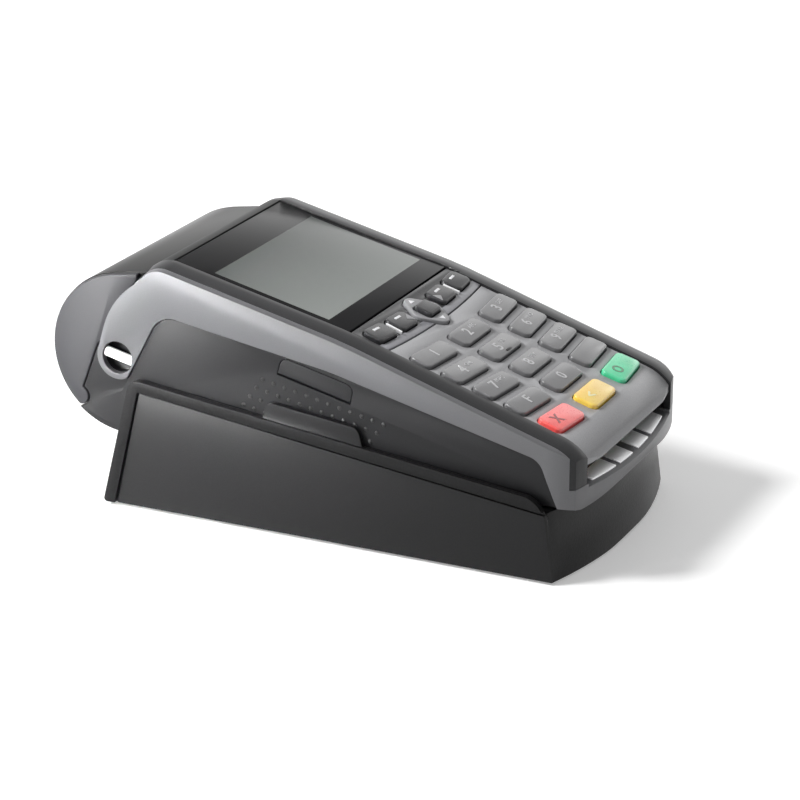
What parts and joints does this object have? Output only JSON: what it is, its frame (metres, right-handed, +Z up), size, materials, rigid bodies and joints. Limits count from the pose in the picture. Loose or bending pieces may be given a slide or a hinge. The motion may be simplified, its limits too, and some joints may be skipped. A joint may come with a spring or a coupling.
{
  "type": "payment terminal",
  "caption": "Handheld card payment terminal with display, keypad, card slot and receipt printer under a hinged drum lid, standing in a wedge-shaped charging base.",
  "frame": {"origin": "on the counter, in the middle of the footprint", "axes": "+Z up, +Y away from the user towards the printer, +X to the user's right"},
  "size_m": [0.0828, 0.162, 0.0712],
  "materials": {
    "base_plastic": "satin",
    "rubber": "matte",
    "steel": "satin",
    "circuit_board": "satin",
    "black_plastic": "matte",
    "contact": "bright",
    "dark_housing": "satin",
    "frame_grey": "satin",
    "silver_trim": "satin",
    "white_plastic": "satin",
    "display_window": "gloss",
    "lcd": "satin",
    "function_black": "gloss",
    "key_plate": "satin",
    "grey_key": "satin",
    "red_key": "satin",
    "yellow_key": "satin",
    "green_key": "satin",
    "cheek_grey": "satin",
    "printer_frame": "satin",
    "paper": "matte"
  },
  "bodies": {
    "base": {"base_shell": "base_plastic", "base_floor": "base_plastic", "base_feet": "rubber", "base_screws": "steel", "base_board": "circuit_board", "contact_block": "black_plastic", "power_socket": "black_plastic"},
    "terminal": {"lower_housing": "dark_housing", "upper_housing": "frame_grey", "side_trim": "silver_trim", "strap_bars": "white_plastic", "display_window": "display_window", "lcd_module": "lcd", "function_plate": "function_black", "key_plate": "key_plate", "keypad_board": "circuit_board", "key_domes": "steel", "main_board": "circuit_board", "battery_pack": "black_plastic", "battery_door": "dark_housing", "card_reader": "white_plastic", "card_contacts": "contact", "card_guides": "silver_trim", "dock_contacts": "contact", "service_socket": "steel", "housing_screws": "steel", "printer_frame": "printer_frame", "print_head": "white_plastic", "drive_motor": "steel", "lid_hinge_pin": "steel"},
    "contact_pins": {"contact_pins": "contact"},
    "lid": {"lid_shell": "dark_housing", "lid_cheeks": "cheek_grey"},
    "platen": {"platen_roller": "rubber", "platen_shaft": "steel"},
    "idler": {"idler_gear": "white_plastic"},
    "pinion": {"motor_pinion": "white_plastic"},
    "roll": {"paper_roll": "paper"},
    "port_cover": {"port_cover": "dark_housing"},
    "scroll_rocker": {"scroll_rocker": "key_plate"},
    "key_1": {"key_1": "grey_key"},
    "key_2": {"key_2": "grey_key"},
    "key_3": {"key_3": "grey_key"},
    "key_4": {"key_4": "grey_key"},
    "key_5": {"key_5": "grey_key"},
    "key_6": {"key_6": "grey_key"},
    "key_7": {"key_7": "grey_key"},
    "key_8": {"key_8": "grey_key"},
    "key_9": {"key_9": "grey_key"},
    "key_f": {"key_f": "grey_key"},
    "key_0": {"key_0": "grey_key"},
    "key_point": {"key_point": "grey_key"},
    "key_red": {"key_red": "red_key"},
    "key_yellow": {"key_yellow": "yellow_key"},
    "key_green": {"key_green": "green_key"},
    "key_f1": {"key_f1": "function_black"},
    "key_f2": {"key_f2": "function_black"},
    "key_f3": {"key_f3": "function_black"},
    "key_f4": {"key_f4": "function_black"},
    "menu_key": {"menu_key": "function_black"}
  },
  "joints": [
    {"name": "terminal_lift", "type": "slide", "parent": "base", "child": "terminal", "axis": [0, 0, 1], "range_m": [0, 0.08]},
    {"name": "contact_press", "type": "slide", "parent": "base", "child": "contact_pins", "axis": [0, 0, -1], "range_m": [0, 0.001], "stiffness_N_per_m": 300},
    {"name": "lid_hinge", "type": "hinge", "parent": "terminal", "child": "lid", "pos_m": [0, 0.07291, 0.02911], "axis": [-1, 0, 0], "range_deg": [0, 95]},
    {"name": "platen_spin", "type": "hinge", "parent": "lid", "child": "platen", "pos_m": [0, 0.05, 0.0582], "axis": [1, 0, 0], "continuous": true},
    {"name": "idler_spin", "type": "hinge", "parent": "terminal", "child": "idler", "pos_m": [0.0322, 0.03986, 0.05548], "axis": [1, 0, 0], "continuous": true},
    {"name": "pinion_spin", "type": "hinge", "parent": "terminal", "child": "pinion", "pos_m": [0.0322, 0.03209, 0.05203], "axis": [1, 0, 0], "continuous": true},
    {"name": "roll_spin", "type": "hinge", "parent": "terminal", "child": "roll", "pos_m": [0, 0.0578, 0.0371], "axis": [1, 0, 0], "continuous": true},
    {"name": "port_cover_hinge", "type": "hinge", "parent": "terminal", "child": "port_cover", "pos_m": [-0.0377, -0.00186, 0.04422], "axis": [0, -0.972, -0.2351], "range_deg": [0, 90]},
    {"name": "scroll_tilt", "type": "hinge", "parent": "terminal", "child": "scroll_rocker", "pos_m": [0, -0.01688, 0.0548], "axis": [1, 0, 0], "range_deg": [-4, 4], "stiffness_Nm_per_rad": 0.02},
    {"name": "key_1_press", "type": "slide", "parent": "terminal", "child": "key_1", "axis": [0, 0.309, -0.9511], "range_m": [0, 0.001], "stiffness_N_per_m": 300},
    {"name": "key_2_press", "type": "slide", "parent": "terminal", "child": "key_2", "axis": [0, 0.309, -0.9511], "range_m": [0, 0.001], "stiffness_N_per_m": 300},
    {"name": "key_3_press", "type": "slide", "parent": "terminal", "child": "key_3", "axis": [0, 0.309, -0.9511], "range_m": [0, 0.001], "stiffness_N_per_m": 300},
    {"name": "key_4_press", "type": "slide", "parent": "terminal", "child": "key_4", "axis": [0, 0.309, -0.9511], "range_m": [0, 0.001], "stiffness_N_per_m": 300},
    {"name": "key_5_press", "type": "slide", "parent": "terminal", "child": "key_5", "axis": [0, 0.309, -0.9511], "range_m": [0, 0.001], "stiffness_N_per_m": 300},
    {"name": "key_6_press", "type": "slide", "parent": "terminal", "child": "key_6", "axis": [0, 0.309, -0.9511], "range_m": [0, 0.001], "stiffness_N_per_m": 300},
    {"name": "key_7_press", "type": "slide", "parent": "terminal", "child": "key_7", "axis": [0, 0.309, -0.9511], "range_m": [0, 0.001], "stiffness_N_per_m": 300},
    {"name": "key_8_press", "type": "slide", "parent": "terminal", "child": "key_8", "axis": [0, 0.309, -0.9511], "range_m": [0, 0.001], "stiffness_N_per_m": 300},
    {"name": "key_9_press", "type": "slide", "parent": "terminal", "child": "key_9", "axis": [0, 0.309, -0.9511], "range_m": [0, 0.001], "stiffness_N_per_m": 300},
    {"name": "key_f_press", "type": "slide", "parent": "terminal", "child": "key_f", "axis": [0, 0.309, -0.9511], "range_m": [0, 0.001], "stiffness_N_per_m": 300},
    {"name": "key_0_press", "type": "slide", "parent": "terminal", "child": "key_0", "axis": [0, 0.309, -0.9511], "range_m": [0, 0.001], "stiffness_N_per_m": 300},
    {"name": "key_point_press", "type": "slide", "parent": "terminal", "child": "key_point", "axis": [0, 0.309, -0.9511], "range_m": [0, 0.001], "stiffness_N_per_m": 300},
    {"name": "key_red_press", "type": "slide", "parent": "terminal", "child": "key_red", "axis": [0, 0.309, -0.9511], "range_m": [0, 0.001], "stiffness_N_per_m": 300},
    {"name": "key_yellow_press", "type": "slide", "parent": "terminal", "child": "key_yellow", "axis": [0, 0.309, -0.9511], "range_m": [0, 0.001], "stiffness_N_per_m": 300},
    {"name": "key_green_press", "type": "slide", "parent": "terminal", "child": "key_green", "axis": [0, 0.309, -0.9511], "range_m": [0, 0.001], "stiffness_N_per_m": 300},
    {"name": "key_f1_press", "type": "slide", "parent": "terminal", "child": "key_f1", "axis": [0, 0.309, -0.9511], "range_m": [0, 0.001], "stiffness_N_per_m": 300},
    {"name": "key_f2_press", "type": "slide", "parent": "terminal", "child": "key_f2", "axis": [0, 0.309, -0.9511], "range_m": [0, 0.001], "stiffness_N_per_m": 300},
    {"name": "key_f3_press", "type": "slide", "parent": "terminal", "child": "key_f3", "axis": [0, 0.309, -0.9511], "range_m": [0, 0.001], "stiffness_N_per_m": 300},
    {"name": "key_f4_press", "type": "slide", "parent": "terminal", "child": "key_f4", "axis": [0, 0.309, -0.9511], "range_m": [0, 0.001], "stiffness_N_per_m": 300},
    {"name": "menu_key_press", "type": "slide", "parent": "terminal", "child": "menu_key", "axis": [0, 0.309, -0.9511], "range_m": [0, 0.001], "stiffness_N_per_m": 300}
  ],
  "couplings": [
    {"joint": "idler_spin", "follows": "platen_spin", "ratio": -1.1},
    {"joint": "pinion_spin", "follows": "platen_spin", "ratio": 1.5714}
  ]
}
